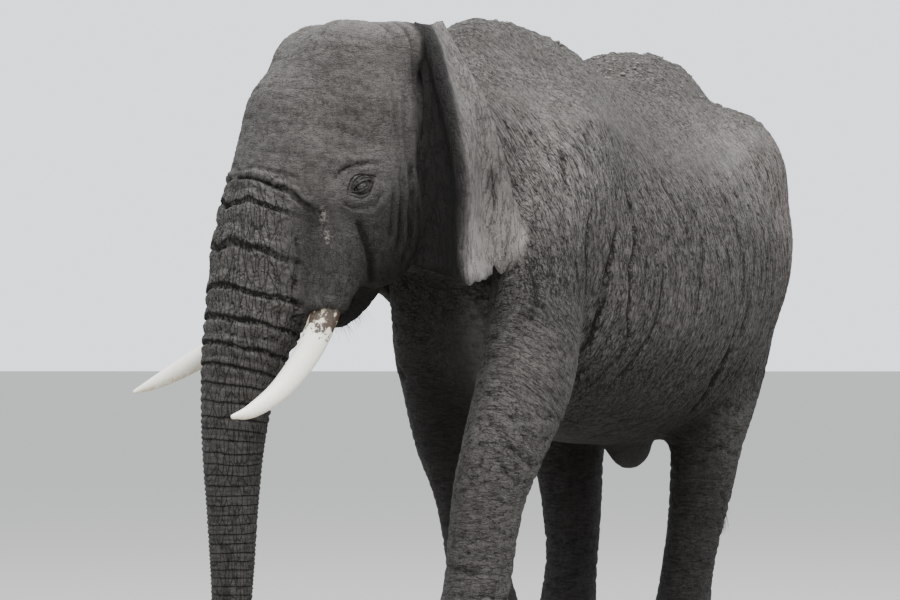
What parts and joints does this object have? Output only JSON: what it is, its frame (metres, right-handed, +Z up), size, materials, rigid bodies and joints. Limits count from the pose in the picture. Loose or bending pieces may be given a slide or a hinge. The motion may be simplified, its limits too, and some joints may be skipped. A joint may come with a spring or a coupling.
{
  "type": "elephant",
  "caption": "Walking African savanna elephant bull with head turned aside, folded ears, hanging trunk and curved tusks, standing flat on its feet.",
  "frame": {"origin": "on the ground under the middle of the animal's box", "axes": "+Z up, the animal faces -Y, +X to its left"},
  "size_m": [1.8834, 4.3619, 3.1746],
  "materials": {
    "skin": "thick wrinkled dark grey hide, dusty and dried with mud",
    "ivory": "worn ivory, stained brown at the root",
    "eye": "wet dark brown eye",
    "horn": "rough grey-brown toenail",
    "hair": "coarse black wire hair"
  },
  "bodies": {
    "root": {"head": "skin", "lower_jaw": "skin", "neck": "skin", "chest": "skin", "belly": "skin", "rump": "skin", "tail": "skin", "trunk_root": "skin", "trunk_middle": "skin", "trunk_lower": "skin", "trunk_tip": "skin", "ear_left": "skin", "ear_right": "skin", "fore_left_upper": "skin", "fore_left_lower": "skin", "fore_left_foot": "skin", "fore_right_upper": "skin", "fore_right_lower": "skin", "fore_right_foot": "skin", "hind_left_upper": "skin", "hind_left_lower": "skin", "hind_left_foot": "skin", "hind_right_upper": "skin", "hind_right_lower": "skin", "hind_right_foot": "skin", "fore_left_nail_1": "horn", "fore_left_nail_2": "horn", "fore_left_nail_3": "horn", "fore_left_nail_4": "horn", "fore_right_nail_1": "horn", "fore_right_nail_2": "horn", "fore_right_nail_3": "horn", "fore_right_nail_4": "horn", "hind_left_nail_1": "horn", "hind_left_nail_2": "horn", "hind_left_nail_3": "horn", "hind_right_nail_1": "horn", "hind_right_nail_2": "horn", "hind_right_nail_3": "horn", "tusk_left": "ivory", "tusk_right": "ivory", "eye_left": "eye", "eye_right": "eye", "tail_tuft": "hair"}
  },
  "joints": []
}
